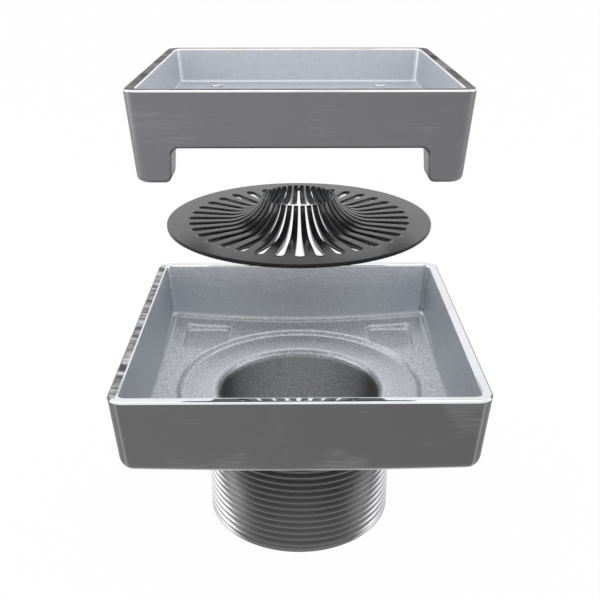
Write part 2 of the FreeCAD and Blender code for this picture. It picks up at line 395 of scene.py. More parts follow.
def thread_finish(name, dark, light, painted_reflection):
    """Cut thread with painted reflections: dark at front and back, bright at the sides, with painted light
    crests and dark roots.
    """
    material, tree, shader = new_finish(name, 1.0, THREAD_TINT)
    place, parts = object_place(tree)
    level = add_node(tree, "ShaderNodeVectorMath", {1: (1, 1, 0)}, operation="MULTIPLY")
    length = add_node(tree, "ShaderNodeVectorMath", operation="LENGTH")
    outward = add_node(tree, "ShaderNodeVectorMath", operation="NORMALIZE")
    heading = add_node(tree, "ShaderNodeSeparateXYZ")
    wire(tree, (*place, level, 0), (level, 0, length, 0), (level, 0, outward, 0), (outward, 0, heading, 0))
    reach = (length, "Value")
    # Painted reflection: the sides are painted bright, the front and back dark.
    to_front = math_node(tree, "ABSOLUTE", (heading, "Y"))
    sideways = between(tree, to_front, 0.0, 1.0, 1.0, FRONT_SHARE)
    limit = between(tree, (parts, "Z"), 0.0, THREAD_HEIGHT * MM, *REFLECTION_LIMITS)
    past = math_node(tree, "SUBTRACT", sideways, limit)
    on_crest = between(tree, reach, (CORE_RADIUS + 0.05) * MM, CREST * MM, -0.07, 0.05)
    turned = between(tree, math_node(tree, "ADD", past, on_crest), -0.03, 0.12, 0.0, 1.0)
    # Painted highlight on the crests and painted shade in the roots.
    front_mask = between(tree, reach, (CREST - 0.4) * MM, CREST * MM, 0.0, 1.0)
    side_mask = between(tree, reach, (CREST - 0.7) * MM, (CREST - 0.15) * MM, 0.0, 1.0)
    # Painted light: paler on the left, darker on the right.
    across = between(tree, (parts, "X"), -THREAD_REACH * MM, THREAD_REACH * MM, LEFT_PAINTED_LIGHT, RIGHT_PAINTED_SHADE)
    side = scale_tone(tree, tone_mix(tree, side_mask, dark, painted_reflection), across)
    tone = tone_mix(tree, turned, tone_mix(tree, front_mask, dark, light), side)
    # Painted light: lighter towards the top, darker towards the bottom.
    upwards = between(tree, (parts, "Z"), 0.0, (THREAD_HEIGHT + 2) * MM, 0.85, 1.3)
    marks = add_node(tree, "ShaderNodeGroup", THREAD_MARKS, node_tree=lines)
    rough = spread(tree, (marks, "Lines"), *CAST_ROUGH)
    dress(tree, shader, scale_tone(tree, tone, upwards), rough, (marks, "Lines"), 0.08, 0.03)
    return material


# %% [markdown]
# Each place on the castings now gets its own tones. These tones also paint light and shade: the
# outer walls and the bore are painted dark as shade, the insides of body and tray pale as light.
# The insert's side and back rims are left dark and cast, while its front rim is polished.

# %% Mix the metals
GRAIN_TOP = 51.0
STREAKED_FROM = -48.4
METALS = {material.name: material for material in (
    # The tones paint shade on the outer walls and the bore, and light on the insides.
    cast_finish("body_inside", (0.56, 0.58, 0.62), (0.63, 0.65, 0.695), 0.6, GRAIN_TOP),
    cast_finish("bore_cast", (0.235, 0.235, 0.238), (0.265, 0.265, 0.268), 0.6, GRAIN_TOP),
    polished_finish("body_polish", (0.77, 0.785, 0.82), (0.83, 0.85, 0.89), 0.02, STREAKED_FROM),
    satin_finish("body_outer", (0.135, 0.135, 0.136), (0.185, 0.185, 0.187)),
    thread_finish("thread_cut", (0.12, 0.12, 0.12), (0.20, 0.20, 0.20), (0.86, 0.86, 0.88)),
    satin_finish("insert_outer", (0.187, 0.185, 0.197), (0.216, 0.214, 0.226)),
    cast_finish("tray_inside", (0.60, 0.62, 0.665), (0.66, 0.68, 0.72), 0.12),
    polished_finish("tray_polish", (0.70, 0.70, 0.71), (0.84, 0.84, 0.85), 0.12),
    polished_finish("hole_polish", (0.92, 0.92, 0.93), (0.98, 0.98, 0.98), 0.05),
    cast_finish("side_rim", (0.06, 0.06, 0.065), (0.42, 0.42, 0.43), 0.3, peel=0.12, tint=0.35))}
print("metals:", list(METALS))

# %% [markdown]
# ## Drain body: rings of a rounded square
# Walls, rims and radii of the body are rings: the same number of points round a square with
# round corners, each ring a little wider or higher than the last. A point of a ring is
# half * A + radius * B, so one table of A and B gives rings of any size, and quads join them.

# %% Rings
SIDE_STEPS = 40
CORNER_STEPS = 10
RIM_CORNER = 4.6
REFERENCE_HALF = 50.0


def ring_table():
    """The two constant vectors of each point round a rounded square, anticlockwise from +X."""
    along = np.linspace(-1, 1, SIDE_STEPS + 1)
    turn = np.linspace(0, math.pi / 2, CORNER_STEPS + 1)[1:-1]
    by_half = np.concatenate([np.stack([np.ones_like(along), along], 1), np.ones((len(turn), 2))])
    by_radius = np.concatenate([
        np.stack([np.zeros_like(along), -along], 1),
        np.stack([np.cos(turn) - 1, np.sin(turn) - 1], 1)])
    quarter = np.array([[0, 1], [-1, 0]])
    spins = [np.linalg.matrix_power(quarter, side) for side in range(4)]
    return [np.concatenate([table @ spin for spin in spins]) for table in (by_half, by_radius)]


RING_HALF, RING_RADIUS = ring_table()
RING_COUNT = len(RING_HALF)


def square_ring(half, radius, height):
    """Ring of a rounded square; each argument is one number or one for each point."""
    half, radius, height = (np.broadcast_to(v, RING_COUNT) for v in (half, radius, height))
    plan = RING_HALF * half[:, None] + RING_RADIUS * radius[:, None]
    return np.column_stack([plan, height])


reference = square_ring(REFERENCE_HALF, RIM_CORNER, 0.0)
RING_ANGLE = np.arctan2(reference[:, 1], reference[:, 0])


def round_ring(radius, height):
    """Circle with as many points as a square ring, at the same angles."""
    height = np.broadcast_to(height, RING_COUNT)
    return np.column_stack([radius * np.cos(RING_ANGLE), radius * np.sin(RING_ANGLE), height])


print("points in a ring:", RING_COUNT)

# %% [markdown]
# ## Drain body: the floor as one sheet
# Seen from above the floor is a single sheet: a shallow funnel, a round step down to the seat
# and four level pockets for the insert's legs. A rule gives its height at any point. Delaunay
# triangles join points that are laid along every edge, so the pockets stay crisp although
# they are square and the seat is round.

# %% Floor heights
DRAFT = math.tan(math.radians(4.0))
RIM_Z = body_high[2]
INSERT_HEIGHT = insert_high[2] - insert_low[2]
POCKET_Z = RIM_Z - INSERT_HEIGHT
FLOOR_EDGE_Z = POCKET_Z + 0.1
FALL = math.tan(math.radians(6.9))
STRAINER_RADIUS = strainer_high[0]
SEAT_RADIUS = STRAINER_RADIUS - 1.1
STEP_RUN = 1.8
SEAT_Z = FLOOR_EDGE_Z - 1.25
EDGE_SOFT = 0.4
POCKET_OUTER = insert_high[0] - INSERT_HEIGHT * DRAFT + 0.3
POCKET_SIDE = 14.9
POCKET_MIDDLE = POCKET_OUTER - POCKET_SIDE / 2
POCKET_CORNER = 1.6
POCKET_SOFT = 0.3


def soft_ramp(distance):
    """Zero before an edge, the distance after it, with a parabola between."""
    blend = (distance + EDGE_SOFT) ** 2 / (4 * EDGE_SOFT)
    return np.where(distance < -EDGE_SOFT, 0, np.where(distance > EDGE_SOFT, distance, blend))


def funnel_height(radius):
    """Seat, leaning step and funnel, with soft edges."""
    step_slope = (FLOOR_EDGE_Z - SEAT_Z) / STEP_RUN
    rise = step_slope * soft_ramp(radius - SEAT_RADIUS)
    return SEAT_Z + rise + (FALL - step_slope) * soft_ramp(radius - SEAT_RADIUS - STEP_RUN)


def pocket_distance(x, y):
    """Distance to the nearest pocket's outline, negative inside it."""
    straight = POCKET_SIDE / 2 - POCKET_CORNER
    dx = np.abs(np.abs(x) - POCKET_MIDDLE) - straight
    dy = np.abs(np.abs(y) - POCKET_MIDDLE) - straight
    outside = np.hypot(np.maximum(dx, 0), np.maximum(dy, 0))
    return outside + np.minimum(np.maximum(dx, dy), 0) - POCKET_CORNER


def floor_height(x, y):
    """Height of the floor sheet, pockets included."""
    funnel = funnel_height(np.hypot(x, y))
    share = np.clip((pocket_distance(x, y) + POCKET_SOFT) / (2 * POCKET_SOFT), 0, 1)
    share = share * share * (3 - 2 * share)
    return np.where(funnel < POCKET_Z, funnel, POCKET_Z + (funnel - POCKET_Z) * share)


print("heights of pockets and seat:", round(POCKET_Z, 2), round(SEAT_Z, 2))

# %% [markdown]
# The sheet's outer edge is the foot of the wall's fillet, and its inner edge is a circle on the
# seat. Both are rings, so the walls and the bore join the sheet point by point.

# %% Lines of the floor
WALL_TOP_HALF = body_high[0] - 2.9
INNER_CORNER = 2.0
FLOOR_FILLET = 1.1
FILLET_CORNER = INNER_CORNER - FLOOR_FILLET
SHEET_INNER_RADIUS = 34.0
STEP_EDGES = (SEAT_RADIUS, SEAT_RADIUS + STEP_RUN)
EDGE_SHARES = (-1.4, -1, -0.5, 0, 0.5, 1, 1.4)
POCKET_LOOPS = 9


def wall_half(height):
    """Half width between the inner walls at a height."""
    return WALL_TOP_HALF - (RIM_Z - height) * DRAFT


fillet_floor = np.full(RING_COUNT, FLOOR_EDGE_Z)
for _ in range(3):
    fillet_half = wall_half(fillet_floor + FLOOR_FILLET) - FLOOR_FILLET / math.cos(math.atan(DRAFT))
    edge_ring = square_ring(fillet_half, FILLET_CORNER, 0)
    fillet_floor = floor_height(edge_ring[:, 0], edge_ring[:, 1])

sheet_points = []
sheet_edges = []


def lay_loop(loop):
    """Add a closed line of plan points that the triangles have to follow."""
    first = len(sheet_points)
    sheet_points.extend(Vector(point) for point in loop)
    sheet_edges.extend((first + i, first + (i + 1) % len(loop)) for i in range(len(loop)))


def corner_ring(half, radius, height, steps):
    """Rounded square with points only at its corners."""
    ring = []
    for quarter, (sign_x, sign_y) in enumerate(((1, 1), (-1, 1), (-1, -1), (1, -1))):
        for angle in np.linspace(0, math.pi / 2, steps + 1) + quarter * math.pi / 2:
            ring.append((sign_x * (half - radius) + radius * math.cos(angle),
                         sign_y * (half - radius) + radius * math.sin(angle), height))
    return ring


for inset in (0, 0.3, 0.8):
    lay_loop(square_ring(fillet_half - inset, FILLET_CORNER - inset, 0)[:, :2])
lay_loop(round_ring(SHEET_INNER_RADIUS, 0)[:, :2])
for edge in STEP_EDGES:
    for share in EDGE_SHARES:
        lay_loop(round_ring(edge + share * EDGE_SOFT, 0)[:, :2])
for offset in np.linspace(-1, 1, POCKET_LOOPS) * POCKET_SOFT:
    outline = np.array(corner_ring(POCKET_SIDE / 2 + offset, POCKET_CORNER + offset, 0, 9))[:, :2]
    for sign_x in (-1, 1):
        for sign_y in (-1, 1):
            lay_loop(outline + np.array([sign_x, sign_y]) * POCKET_MIDDLE)
print("floor lines:", len(sheet_points), "points")

# %% [markdown]
# Loose rings of points fill the wide slopes between the lines, clear of the walls and of the
# pockets' outlines. Then the triangles are made, and those outside the sheet are dropped.

# %% Floor sheet
RING_STEP = 1.9
EDGE_CLEAR = 1.6
POCKET_CLEAR = 0.8
SHEET_REACH = 66

for radius in np.arange(STEP_EDGES[1] + EDGE_CLEAR, SHEET_REACH, RING_STEP):
    ring = round_ring(radius, 0)[:, :2]
    off_wall = np.abs(ring).max(1) < fillet_half.min() - EDGE_CLEAR
    off_pocket = np.abs(pocket_distance(ring[:, 0], ring[:, 1])) > POCKET_CLEAR
    sheet_points.extend(Vector(point) for point in ring[off_wall & off_pocket])

flat, _, sheet_faces, sources, _, _ = delaunay_2d_cdt(sheet_points, sheet_edges, [], 0, 1e-6)
flat = np.array([tuple(point) for point in flat])
on_edge = np.array([any(index < RING_COUNT for index in group) for group in sources])
sheet = np.column_stack([flat, floor_height(flat[:, 0], flat[:, 1])])
in_bore = np.hypot(flat[:, 0], flat[:, 1]) < SHEET_INNER_RADIUS + 1e-4
sheet_faces = [face for face in sheet_faces if not all(in_bore[face]) and not all(on_edge[face])]
print("floor sheet:", len(sheet), "points,", len(sheet_faces), "faces")

# %% [markdown]
# ## Drain body: walls, rim, underside and bore
# The rings run from the floor's edge up the wall, over the rounded rim, down the outside, round
# the foot, along the slightly bowed underside, down the spigot's core and up the bore to the
# seat. A ring close to each radius keeps the flat faces shading flat.

# %% Inside and rim
RIM_HALF = body_high[0]
RIM_INNER_ROUND = 0.5
RIM_OUTER_ROUND = 0.6
RIM_DROP = 0.1
SUPPORT = 0.25


def arc_steps(start, end, count):
    """Angles in radians from start to end degrees."""
    return np.radians(np.linspace(start, end, count))


def rim_height(half):
    """Height of the rim, which leans a little inwards, at a half width."""
    outer = RIM_HALF - RIM_OUTER_ROUND
    return RIM_Z - RIM_DROP * (outer - half) / (outer - WALL_TOP_HALF - RIM_INNER_ROUND)


inside_rings = []
for angle in arc_steps(0, 86, 7):
    lift = FLOOR_FILLET * (1 - math.cos(angle))
    reach = FLOOR_FILLET * math.sin(angle)
    inside_rings.append(square_ring(fillet_half + reach, FILLET_CORNER + reach, fillet_floor + lift))
FILLET_RINGS = len(inside_rings)
wall_foot = inside_rings[-1][:, 2]
wall_top = RIM_Z - RIM_DROP - RIM_INNER_ROUND - SUPPORT
for height in (wall_foot + SUPPORT, wall_foot + 4 * SUPPORT, (wall_foot + RIM_Z) / 2, wall_top):
    inside_rings.append(square_ring(wall_half(height), INNER_CORNER, height))
rim_rings = []
for angle in arc_steps(0, 90, 6):
    reach = RIM_INNER_ROUND * (1 - math.cos(angle))
    height = RIM_Z - RIM_DROP - RIM_INNER_ROUND * (1 - math.sin(angle))
    rim_rings.append(square_ring(WALL_TOP_HALF + reach, INNER_CORNER + reach, height))
inner_step = RIM_INNER_ROUND + SUPPORT
outer_step = RIM_OUTER_ROUND + SUPPORT
for half, corner in ((WALL_TOP_HALF + inner_step, INNER_CORNER + inner_step),
                     (RIM_HALF - outer_step, RIM_CORNER - outer_step)):
    rim_rings.append(square_ring(half, corner, rim_height(half)))
RIM_ROUND_FIRST = len(rim_rings) + 1
for angle in arc_steps(0, 90, 7):
    inset = RIM_OUTER_ROUND * (1 - math.sin(angle))
    height = RIM_Z - RIM_OUTER_ROUND * (1 - math.cos(angle))
    rim_rings.append(square_ring(RIM_HALF - inset, RIM_CORNER - inset, height))
print("rings inside and on the rim:", len(inside_rings), len(rim_rings))

# %% Outside and underside
FOOT_ROUND = 4.5
UNDERSIDE_Z = SEAT_Z - 0.48
UNDERSIDE_BOW = 0.0405
BOW_RADIUS = 44.5


def outer_half(height):
    """Half width over the outer walls at a height."""
    return RIM_HALF - (RIM_Z - height) * DRAFT


def bowed(radius):
    """Height of the underside, which sinks a little towards the axis."""
    return UNDERSIDE_Z + UNDERSIDE_BOW * (radius - BOW_RADIUS)


outside_rings = []
foot_plan = square_ring(outer_half(UNDERSIDE_Z + FOOT_ROUND) - FOOT_ROUND, RIM_CORNER - FOOT_ROUND, 0)
foot_height = bowed(np.hypot(foot_plan[:, 0], foot_plan[:, 1]))
foot_centre_z = foot_height + FOOT_ROUND
foot_centre_half = outer_half(foot_centre_z) - FOOT_ROUND
wall_low = foot_centre_z + SUPPORT
for height in (RIM_Z - RIM_OUTER_ROUND - SUPPORT, (RIM_Z + wall_low) / 2, wall_low):
    outside_rings.append(square_ring(outer_half(height), RIM_CORNER, height))
FOOT_FIRST = len(outside_rings)
for angle in arc_steps(4, 88, 10):
    reach = FOOT_ROUND * math.cos(angle)
    height = foot_centre_z - FOOT_ROUND * math.sin(angle)
    outside_rings.append(square_ring(foot_centre_half + reach, RIM_CORNER - FOOT_ROUND + reach, height))
foot_ring = outside_rings[-1]
for share in (0.06, 0.35, 0.7, 1.0):
    plan = foot_ring[:, :2] * (1 - share) + round_ring(CORE_RADIUS, 0)[:, :2] * share
    outside_rings.append(np.column_stack([plan, bowed(np.hypot(plan[:, 0], plan[:, 1]))]))
print("rings outside:", len(outside_rings))

# %% Spigot and bore
BORE_RADIUS = 25.4
MOUTH_ROUND = 2.2
SPIGOT_STOPS = (
    (CORE_RADIUS, 38.0), (CORE_RADIUS, 20.0), (CORE_RADIUS, 1.9), (SPIGOT_RADIUS, 0.9),
    (SPIGOT_RADIUS, 0.2), (SPIGOT_RADIUS - 0.2, 0.0), (BORE_RADIUS + 0.6, 0.0))
BORE_STOPS = (
    (BORE_RADIUS + 0.15, 0.15), (BORE_RADIUS, 0.6), (BORE_RADIUS, 20.0),
    (BORE_RADIUS, SEAT_Z - MOUTH_ROUND - SUPPORT))

spigot_rings = [outside_rings[-1]] + [round_ring(*stop) for stop in SPIGOT_STOPS]
bore_rings = [spigot_rings[-1]] + [round_ring(*stop) for stop in BORE_STOPS]
BORE_RINGS = len(bore_rings)
for angle in arc_steps(0, 90, 8):
    reach = MOUTH_ROUND * (1 - math.cos(angle))
    bore_rings.append(round_ring(BORE_RADIUS + reach, SEAT_Z - MOUTH_ROUND * (1 - math.sin(angle))))
bore_rings.append(round_ring(BORE_RADIUS + MOUTH_ROUND + SUPPORT, SEAT_Z))
bore_rings.append(round_ring(SHEET_INNER_RADIUS, SEAT_Z))
INSIDE, RIM, OUTSIDE, THREAD, BORE = range(5)
body_runs = (
    (inside_rings + rim_rings[:1], INSIDE), (rim_rings, RIM), (rim_rings[-1:] + outside_rings, OUTSIDE),
    (spigot_rings, THREAD), (bore_rings[:BORE_RINGS], BORE), (bore_rings[BORE_RINGS - 1:], INSIDE))
print("rings in all:", sum(len(rings) for rings, _ in body_runs))

# %% [markdown]
# ## Drain body: painted highlights and shade
# Highlights along edges and shade in the hollows between them are painted. An attribute on the
# points holds this: above 0 for a painted highlight near an edge, below 0 for painted shade in a
# hollow. The painted lines across the front and back of the floor show most. There is also a thin
# painted highlight down each outer corner, a painted glint at the right of the seat towards the back,
# and painted shade in the inner corners and at the sides of the bore's mouth.

# %% Where the edges lie
MOUTH_LINES = ((BORE_RADIUS + MOUTH_ROUND, SEAT_Z), (BORE_RADIUS, SEAT_Z - MOUTH_ROUND))
STEP_LINES = tuple(zip(STEP_EDGES, (SEAT_Z, FLOOR_EDGE_Z)))
STEP_MIDDLE = (SEAT_RADIUS + STEP_RUN / 2, (SEAT_Z + FLOOR_EDGE_Z) / 2)
MOUTH_GLINT = (BORE_RADIUS + MOUTH_ROUND + 0.4, SEAT_Z)


def line_tree(rings):
    """Search tree over the points of some rings."""
    points = np.concatenate(rings)
    tree = KDTree(len(points))
    for index, point in enumerate(points):
        tree.insert(point, index)
    tree.balance()
    return tree


FILLET_LINES = line_tree([inside_rings[0], inside_rings[FILLET_RINGS - 1]])
FILLET_HOLLOW = line_tree([inside_rings[FILLET_RINGS // 2]])
FOOT_LINES = line_tree(outside_rings[FOOT_FIRST + 4:FOOT_FIRST + 6])


def bell(gap, width):
    """One at no gap, falling to nothing over a few widths."""
    return math.exp(-(gap / width) ** 2)


def ramp(value, top):
    """Zero at 0 or less, one at the top or more, and straight between."""
    return min(1.0, max(0.0, float(value) / top))


def ring_gap(point, ring):
    """Distance from a point to a circle round the axis, given as (radius, height)."""
    return math.hypot(math.hypot(point[0], point[1]) - ring[0], point[2] - ring[1])


def tree_gap(point, tree):
    """Distance from a point to the nearest point of a search tree."""
    return tree.find(point)[2]


print("lines round the axis:", len(MOUTH_LINES) + len(STEP_LINES))

# %% Painted highlights and shade
# Widths and strengths of the painted highlights and the painted shade.
LINE_WIDTH = 0.28
CORNER_HIGHLIGHT_HEADING = 63
CORNER_HIGHLIGHT_SPREAD = 4
CORNER_HIGHLIGHT = 0.3
GLINT_HEADING = 36
GLINT_SPREAD = 12
GLINT_BRIGHTNESS = 0.8
FILLET_WIDTH = 0.36
FILLET_HIGHLIGHT = 1.4
POCKET_WIDTH = 0.2
POCKET_SIDE_SHARE = 0.25
FULL_DROP = 1.2
WALL_DEPTH = 18
CORNER_SHADE_RIGHT, CORNER_SHADE_LEFT = 0.8, 0.3
MOUTH_SHADE = 0.7
STEP_SHADE = 0.6
FILLET_SHADE = 0.36
SEAT_SHADE = 0.15


def front_share(x, y):
    """One at the front and back of the body, zero at its sides."""
    return ramp(abs(y) / math.hypot(x, y) - 0.35, 0.3)


def on_corner_highlight(x, y, height):
    """Whether a point lies on the painted highlight line down an outer corner."""
    centre = outer_half(max(height, UNDERSIDE_Z + FOOT_ROUND)) - RIM_CORNER
    out_x, out_y = abs(x) - centre, abs(y) - centre
    off_line = abs(math.degrees(math.atan2(out_y, out_x)) - CORNER_HIGHLIGHT_HEADING)
    return math.hypot(out_x, out_y) > RIM_CORNER - 1.6 and off_line < CORNER_HIGHLIGHT_SPREAD


def painted_corner_shade(x, y, height):
    """How dark the painted shade is in an inner corner of the walls, more on the right than on the left.
    """
    into_corner = min(abs(x), abs(y)) - wall_half(height) + INNER_CORNER
    inside = max(abs(x), abs(y)) < wall_half(height) + 0.1
    return (CORNER_SHADE_RIGHT if x > 0 else CORNER_SHADE_LEFT) * inside * ramp(into_corner, 1.2)


def painted_highlight_lines(point):
    """How bright the painted highlight lines on the floor, round the bore and along the foot, and the
    painted glints, are at a point.
    """
    x, y, _ = point
    across = front_share(x, y)
    upper, lower = (bell(ring_gap(point, line), LINE_WIDTH) for line in MOUTH_LINES)
    step = max(bell(ring_gap(point, line), LINE_WIDTH) for line in STEP_LINES)
    fillet = min(1, FILLET_HIGHLIGHT * bell(tree_gap(point, FILLET_LINES), FILLET_WIDTH))
    foot = bell(tree_gap(point, FOOT_LINES), LINE_WIDTH)
    past_x, past_y = (abs(abs(part) - POCKET_MIDDLE) for part in (x, y))
    pocket = bell(abs(abs(pocket_distance(x, y)) - POCKET_SOFT), POCKET_WIDTH)
    pocket *= ramp(funnel_height(math.hypot(x, y)) - POCKET_Z, FULL_DROP)
    pocket *= POCKET_SIDE_SHARE + (1 - POCKET_SIDE_SHARE) * ramp(past_y - past_x, 1.5)
    glint = max(bell(ring_gap(point, STEP_MIDDLE), 0.9), bell(ring_gap(point, MOUTH_GLINT), 0.8))
    glint *= GLINT_BRIGHTNESS * bell(math.degrees(math.atan2(y, x)) - GLINT_HEADING, GLINT_SPREAD)
    return max(upper, across * lower, across * step, across * fillet, foot, pocket, glint)


def painted_hollow_shade(point):
    """How dark the painted shade in the hollows of the floor, the inner corners and the sides of the
    bore's mouth is at a point.
    """
    x, y, height = point
    radius = math.hypot(x, y)
    across = front_share(x, y)
    on_mouth = height > SEAT_Z - MOUTH_ROUND - 0.1
    mouth_side = MOUTH_SHADE * on_mouth * (1 - across) * ramp(BORE_RADIUS + 1.5 - radius, 0.6)
    on_seat = y > 0 and BORE_RADIUS + MOUTH_ROUND < radius < SEAT_RADIUS
    seat = SEAT_SHADE * across * on_seat
    along_wall = FILLET_SHADE * across * bell(tree_gap(point, FILLET_HOLLOW), 0.3)
    step = STEP_SHADE * bell(ring_gap(point, STEP_MIDDLE), 0.6)
    return max(step, along_wall, seat, painted_corner_shade(x, y, height), mouth_side)


def painted_light_at(point):
    """How bright a painted highlight at a point of the body is, up to 1, or how dark its painted shade is,
    down to -1.
    """
    if on_corner_highlight(*point):
        return CORNER_HIGHLIGHT
    if point[2] > RIM_Z - WALL_DEPTH:
        return -painted_corner_shade(*point)
    highlighted = painted_highlight_lines(point)
    return highlighted - painted_hollow_shade(point) * (1 - highlighted)


print("wear at the mouth's front edge:", round(painted_light_at((0, -MOUTH_LINES[0][0], SEAT_Z)), 2))

# %% [markdown]
# All the runs go into one mesh. Points that fall on each other are merged first, then the
# faces are turned outwards together, and the piece takes the place of its CAD solid. On the left
# and right sides the rim's outer rounding is satin like the walls, not polished.

# %% Build the drain body
MERGE_GAP = 2e-6
SLIVER = 1e-7


def merge_points(build):
    """Merge points of a bmesh that fall on each other, and drop faces without area."""
    bmesh.ops.remove_doubles(build, verts=build.verts, dist=MERGE_GAP)
    bmesh.ops.dissolve_degenerate(build, edges=build.edges, dist=SLIVER)


def face_outwards(build, name):
    """Turn the faces of a bmesh outwards, shade them smooth and count its open edges."""
    bmesh.ops.recalc_face_normals(build, faces=build.faces)
    for face in build.faces:
        face.smooth = True
    print(name, "open edges:", sum(not edge.is_manifold for edge in build.edges))


def place_mesh(name, points, faces):
    """New object in the scene from points in mm and faces."""
    mesh = bpy.data.meshes.new(name)
    mesh.from_pydata((np.array(points) * MM).tolist(), [], faces)
    piece = bpy.data.objects.new(name, mesh)
    bpy.context.scene.collection.objects.link(piece)
    return piece


body_points = list(sheet)
body_faces = [tuple(face) for face in sheet_faces]
body_slots = [INSIDE] * len(body_faces)
for rings, slot in body_runs:
    for level, (lower, upper) in enumerate(zip(rings, rings[1:])):
        on_rounding = slot == RIM and level >= RIM_ROUND_FIRST
        first = len(body_points)
        body_points.extend(lower)
        body_points.extend(upper)
        for i in range(RING_COUNT):
            j = (i + 1) % RING_COUNT
            body_faces.append((first + i, first + j, first + RING_COUNT + j, first + RING_COUNT + i))
            satin = on_rounding and abs(lower[i][0]) > abs(lower[i][1])
            body_slots.append(OUTSIDE if satin else slot)
body = place_mesh("body_casting", body_points, body_faces)
body.data.polygons.foreach_set("material_index", body_slots)
for name in ("body_inside", "body_polish", "body_outer", "thread_cut", "bore_cast"):
    body.data.materials.append(METALS[name])
build = bmesh.new()
build.from_mesh(body.data)
merge_points(build)
face_outwards(build, "body")
build.to_mesh(body.data)
build.free()
body_places = np.array([vertex.co for vertex in body.data.vertices]) / MM
# Painted highlights and painted shade, kept as an attribute that the finishes read.
painted_light_and_shade = body.data.attributes.new("painted_light_and_shade", "FLOAT", "POINT")
painted_light_and_shade.data.foreach_set("value", [painted_light_at(point) for point in body_places])
print("body:", len(body.data.polygons), "faces")
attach(body, "root")
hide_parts("drain_body")

# %% [markdown]
# ## Spigot thread with Geometry Nodes
# A pipe thread is one ridge that winds up the spigot at a fixed pitch. A spiral curve with a
# trapezoid swept along it is just that, and the sweep's scale runs out to nothing at both ends
# as a cut thread does. The tree keeps its sizes as named inputs.

# %% Geometry tree helpers
def new_geometry_tree(name, inputs):
    """Geometry node tree with a geometry in and out and named inputs of the given types."""
    tree = bpy.data.node_groups.new(name, "GeometryNodeTree")
    tree.interface.new_socket("Geometry", in_out="INPUT", socket_type="NodeSocketGeometry")
    named = {}
    for socket, kind in inputs.items():
        named[socket] = tree.interface.new_socket(socket, in_out="INPUT", socket_type="NodeSocket" + kind)
    tree.interface.new_socket("Geometry", in_out="OUTPUT", socket_type="NodeSocketGeometry")
    return tree, named, add_node(tree, "NodeGroupInput"), add_node(tree, "NodeGroupOutput")


def apply_modifiers(piece):
    """Turn an object's modifiers into its mesh."""
    evaluated = piece.evaluated_get(bpy.context.evaluated_depsgraph_get())
    piece.data = bpy.data.meshes.new_from_object(evaluated)
    piece.modifiers.clear()


def grow(name, start_mesh, tree, named, values):
    """Run a tree on a mesh with its inputs set, and keep the result as a mesh."""
    piece = bpy.data.objects.new(name, start_mesh)
    bpy.context.scene.collection.objects.link(piece)
    modifier = piece.modifiers.new("tree", "NODES")
    modifier.node_group = tree
    for socket, value in values.items():
        modifier[named[socket].identifier] = value
    apply_modifiers(piece)
    print(name, len(piece.data.polygons), "faces")
    return piece


# %% Thread tree
TURN_STEPS = 120
RUN_OUT = 0.02
thread_tree, thread_named, t_in, t_out = new_geometry_tree("wound_thread", {
    "Turns": "Float", "Radius": "Float", "Height": "Float", "Depth": "Float", "Root Width": "Float",
    "Crest Width": "Float", "Foot": "Vector", "Material": "Material"})
winding = add_node(thread_tree, "GeometryNodeCurveSpiral", {"Resolution": TURN_STEPS})
upright = add_node(thread_tree, "GeometryNodeSetCurveNormal", mode="Z_UP")
ridge = add_node(thread_tree, "GeometryNodeCurvePrimitiveQuadrilateral", {"Offset": 0.0}, mode="TRAPEZOID")
outwards = add_node(thread_tree, "GeometryNodeTransform", {"Rotation": (0, 0, math.pi / 2)})
sweep = add_node(thread_tree, "GeometryNodeCurveToMesh", {"Fill Caps": True})
move = add_node(thread_tree, "GeometryNodeTransform", {"Rotation": (0, 0, math.pi)})
whole = add_node(thread_tree, "GeometryNodeRealizeInstances")
paint = add_node(thread_tree, "GeometryNodeSetMaterial")
way = (add_node(thread_tree, "GeometryNodeSplineParameter"), "Factor")
way_left = math_node(thread_tree, "SUBTRACT", 1.0, way)
nearer_end = math_node(thread_tree, "MINIMUM", way, way_left)
fade = math_node(thread_tree, "DIVIDE", nearer_end, RUN_OUT, clamp=True)
wire(thread_tree,
     (t_in, "Turns", winding, "Rotations"), (t_in, "Height", winding, "Height"),
     (t_in, "Radius", winding, "Start Radius"), (t_in, "Radius", winding, "End Radius"),
     (t_in, "Depth", ridge, "Height"), (t_in, "Root Width", ridge, "Bottom Width"),
     (t_in, "Crest Width", ridge, "Top Width"), (ridge, 0, outwards, 0),
     (winding, 0, upright, "Curve"), (upright, 0, sweep, "Curve"),
     (outwards, 0, sweep, "Profile Curve"), (*fade, sweep, "Scale"),
     (sweep, 0, move, 0), (t_in, "Foot", move, "Translation"),
     (move, 0, whole, 0), (whole, 0, paint, 0),
     (t_in, "Material", paint, "Material"), (paint, 0, t_out, 0))
print("tree", thread_tree.name)

# %% [markdown]
# The thread starts inside the plain collar at the spigot's lower end and runs out just under the
# body. Its crests are sharp edges, so only the steps round the winding are shaded smooth.

